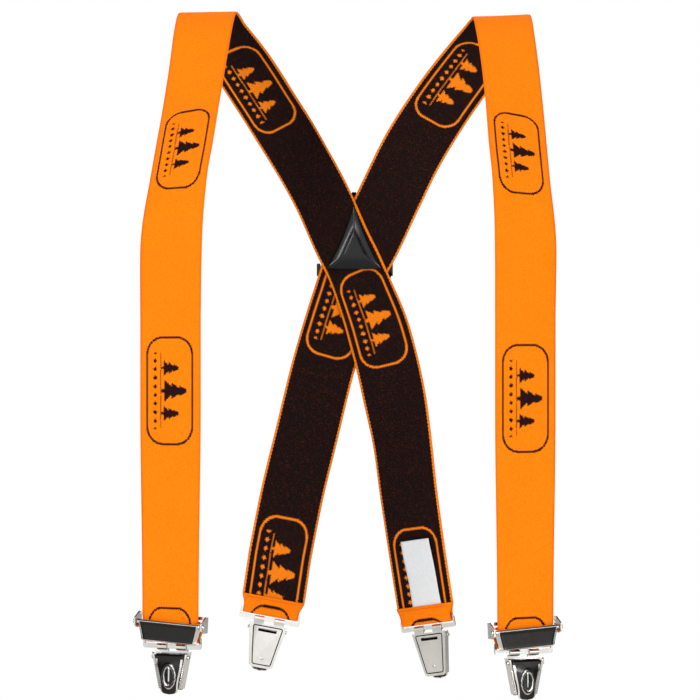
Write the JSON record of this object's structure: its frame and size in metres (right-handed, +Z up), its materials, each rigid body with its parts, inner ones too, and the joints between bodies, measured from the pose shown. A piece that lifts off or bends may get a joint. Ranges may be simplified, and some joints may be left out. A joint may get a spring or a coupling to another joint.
{
  "type": "clip braces for forestry trousers",
  "caption": "X-back elastic trouser braces: two wide straps crossing in a rear plate, sliding front adjusters and hinged lever clips.",
  "frame": {"origin": "midway between the two shoulder bends, at their height", "axes": "+Z up as worn, +Y from the chest to the back, +X to the right as seen from the front"},
  "size_m": [0.3116, 0.2643, 0.5183],
  "materials": {
    "webbing": "woven elastic, orange outside and black inside, with a woven badge pattern",
    "thread": "matt",
    "label": "satin",
    "plastic": "gloss",
    "nickel": "bright nickel plate",
    "steel": "drawn wire"
  },
  "bodies": {
    "harness": {"left_strap_front": "webbing", "left_strap_back": "webbing", "right_strap_front": "webbing", "right_strap_back": "webbing", "cross_plate": "plastic", "care_label": "label", "left_rear_seam": "thread", "right_rear_seam": "thread"},
    "left_adjuster": {"left_adjuster_frame": "nickel", "left_adjuster_pin": "steel"},
    "left_flip_plate": {"left_adjuster_plate": "nickel"},
    "left_loop": {"left_strap_lower": "webbing", "left_tail_seam": "thread"},
    "right_adjuster": {"right_adjuster_frame": "nickel", "right_adjuster_pin": "steel"},
    "right_flip_plate": {"right_adjuster_plate": "nickel"},
    "right_loop": {"right_strap_lower": "webbing", "right_tail_seam": "thread"},
    "front_left_ring": {"front_left_ring": "nickel"},
    "front_left_clip": {"front_left_clip_base": "nickel", "front_left_clip_pin": "steel"},
    "front_left_lever": {"front_left_clip_lever": "nickel", "front_left_clip_pad": "plastic"},
    "front_right_ring": {"front_right_ring": "nickel"},
    "front_right_clip": {"front_right_clip_base": "nickel", "front_right_clip_pin": "steel"},
    "front_right_lever": {"front_right_clip_lever": "nickel", "front_right_clip_pad": "plastic"},
    "rear_left_ring": {"rear_left_ring": "nickel"},
    "rear_left_clip": {"rear_left_clip_base": "nickel", "rear_left_clip_pin": "steel"},
    "rear_left_lever": {"rear_left_clip_lever": "nickel", "rear_left_clip_pad": "plastic"},
    "rear_right_ring": {"rear_right_ring": "nickel"},
    "rear_right_clip": {"rear_right_clip_base": "nickel", "rear_right_clip_pin": "steel"},
    "rear_right_lever": {"rear_right_clip_lever": "nickel", "rear_right_clip_pad": "plastic"}
  },
  "joints": [
    {"name": "left_loop_slide", "type": "slide", "parent": "harness", "child": "left_loop", "axis": [0, 0, 1], "range_m": [0, 0.08], "deforming": ["left_strap_lower"]},
    {"name": "left_adjuster_slide", "type": "slide", "parent": "left_loop", "child": "left_adjuster", "axis": [0, 0, 1], "range_m": [0, 0.08], "deforming": ["left_strap_lower"]},
    {"name": "left_flip_plate_hinge", "type": "hinge", "parent": "left_adjuster", "child": "left_flip_plate", "pos_m": [-0.12895, -0.15505, -0.45441], "axis": [-0.8898, 0.4534, 0.0523], "range_deg": [0, 100]},
    {"name": "right_loop_slide", "type": "slide", "parent": "harness", "child": "right_loop", "axis": [0, 0, 1], "range_m": [0, 0.08], "deforming": ["right_strap_lower"]},
    {"name": "right_adjuster_slide", "type": "slide", "parent": "right_loop", "child": "right_adjuster", "axis": [0, 0, 1], "range_m": [0, 0.08], "deforming": ["right_strap_lower"]},
    {"name": "right_flip_plate_hinge", "type": "hinge", "parent": "right_adjuster", "child": "right_flip_plate", "pos_m": [0.12895, -0.15505, -0.45841], "axis": [-0.8898, -0.4534, -0.0523], "range_deg": [0, 100]},
    {"name": "front_left_ring_swing", "type": "hinge", "parent": "left_loop", "child": "front_left_ring", "pos_m": [-0.12675, -0.14955, -0.4647], "axis": [-0.891, 0.454, 0], "range_deg": [-20, 20]},
    {"name": "front_left_clip_swing", "type": "hinge", "parent": "front_left_ring", "child": "front_left_clip", "pos_m": [-0.12675, -0.14955, -0.471], "axis": [-0.891, 0.454, 0], "range_deg": [-30, 30]},
    {"name": "front_left_lever_hinge", "type": "hinge", "parent": "front_left_clip", "child": "front_left_lever", "pos_m": [-0.12775, -0.15151, -0.4785], "axis": [-0.891, 0.454, 0], "range_deg": [0, 80]},
    {"name": "front_right_ring_swing", "type": "hinge", "parent": "right_loop", "child": "front_right_ring", "pos_m": [0.12675, -0.14955, -0.4687], "axis": [-0.891, -0.454, 0], "range_deg": [-20, 20]},
    {"name": "front_right_clip_swing", "type": "hinge", "parent": "front_right_ring", "child": "front_right_clip", "pos_m": [0.12675, -0.14955, -0.475], "axis": [-0.891, -0.454, 0], "range_deg": [-30, 30]},
    {"name": "front_right_lever_hinge", "type": "hinge", "parent": "front_right_clip", "child": "front_right_lever", "pos_m": [0.12775, -0.15151, -0.4825], "axis": [-0.891, -0.454, 0], "range_deg": [0, 80]},
    {"name": "rear_left_ring_swing", "type": "hinge", "parent": "harness", "child": "rear_left_ring", "pos_m": [-0.061, 0.08, -0.464], "axis": [0.9779, 0.0872, -0.1901], "range_deg": [-20, 20]},
    {"name": "rear_left_clip_swing", "type": "hinge", "parent": "rear_left_ring", "child": "rear_left_clip", "pos_m": [-0.0622, 0.08, -0.47018], "axis": [0.9779, 0.0872, -0.1901], "range_deg": [-30, 30]},
    {"name": "rear_left_lever_hinge", "type": "hinge", "parent": "rear_left_clip", "child": "rear_left_lever", "pos_m": [-0.06382, 0.08219, -0.47751], "axis": [0.9779, 0.0872, -0.1901], "range_deg": [0, 80]},
    {"name": "rear_right_ring_swing", "type": "hinge", "parent": "harness", "child": "rear_right_ring", "pos_m": [0.0625, 0.08, -0.47], "axis": [0.8695, -0.4695, 0.1533], "range_deg": [-20, 20]},
    {"name": "rear_right_clip_swing", "type": "hinge", "parent": "rear_right_ring", "child": "rear_right_clip", "pos_m": [0.06359, 0.08, -0.4762], "axis": [0.8695, -0.4695, 0.1533], "range_deg": [-30, 30]},
    {"name": "rear_right_lever_hinge", "type": "hinge", "parent": "rear_right_clip", "child": "rear_right_lever", "pos_m": [0.06591, 0.08194, -0.48341], "axis": [0.8695, -0.4695, 0.1533], "range_deg": [0, 80]}
  ],
  "couplings": [
    {"joint": "left_adjuster_slide", "follows": "left_loop_slide", "ratio": 1},
    {"joint": "right_adjuster_slide", "follows": "right_loop_slide", "ratio": 1}
  ]
}
